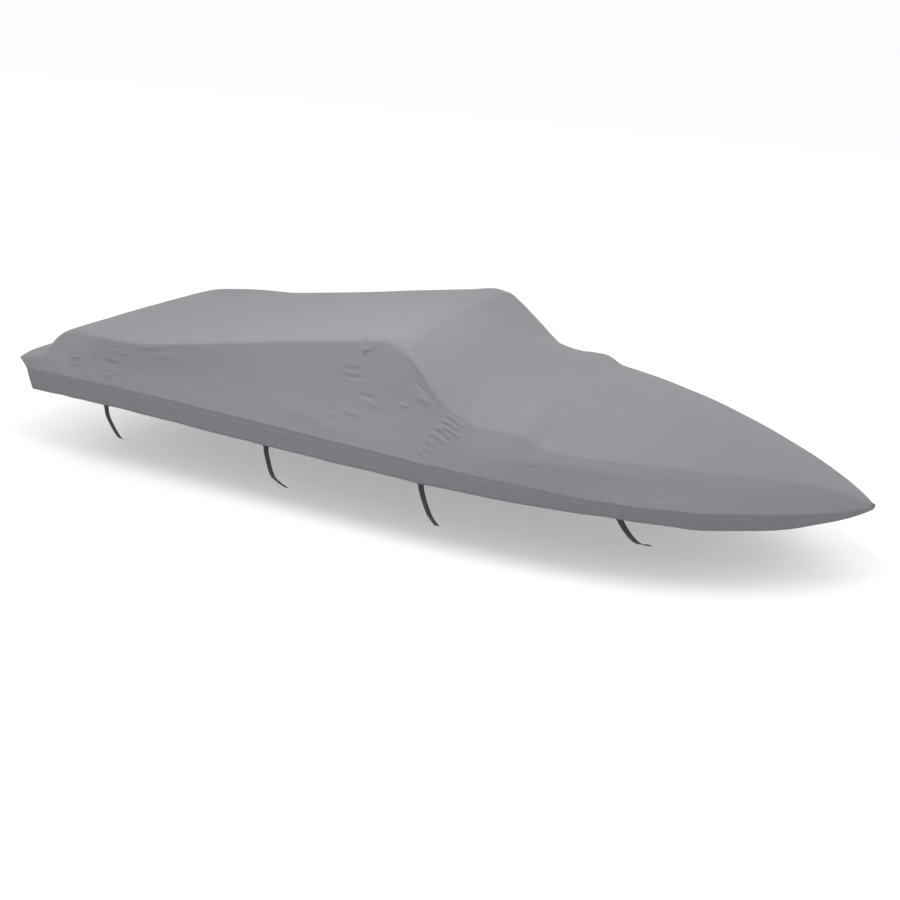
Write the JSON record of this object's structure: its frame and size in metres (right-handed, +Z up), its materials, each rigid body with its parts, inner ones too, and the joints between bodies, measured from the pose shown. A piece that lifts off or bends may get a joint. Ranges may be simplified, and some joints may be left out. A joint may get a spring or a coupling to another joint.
{
  "type": "fitted boat cover",
  "caption": "Fitted cloth cover for an open runabout: raised top over the windshield, foredeck slope to the bow, skirt band with hem and webbing tie-downs.",
  "frame": {"origin": "on the centreline at the underside of the top, where the windshield header of the boat holds the cover up", "axes": "+X towards the bow, +Y to port, +Z up"},
  "size_m": [5.7142, 2.32, 1.2637],
  "materials": {
    "cover_cloth": "matte grey coated polyester, plain weave",
    "skirt_cloth": "matte grey coated polyester, plain weave, a shade darker",
    "webbing": "black polypropylene webbing, dull sheen"
  },
  "bodies": {
    "root": {"body_cloth": "cover_cloth", "skirt_band": "skirt_cloth", "tie_starboard_1": "webbing", "tie_starboard_2": "webbing", "tie_starboard_3": "webbing", "tie_starboard_4": "webbing", "tie_port_1": "webbing", "tie_port_2": "webbing", "tie_port_3": "webbing", "tie_port_4": "webbing"}
  },
  "joints": []
}
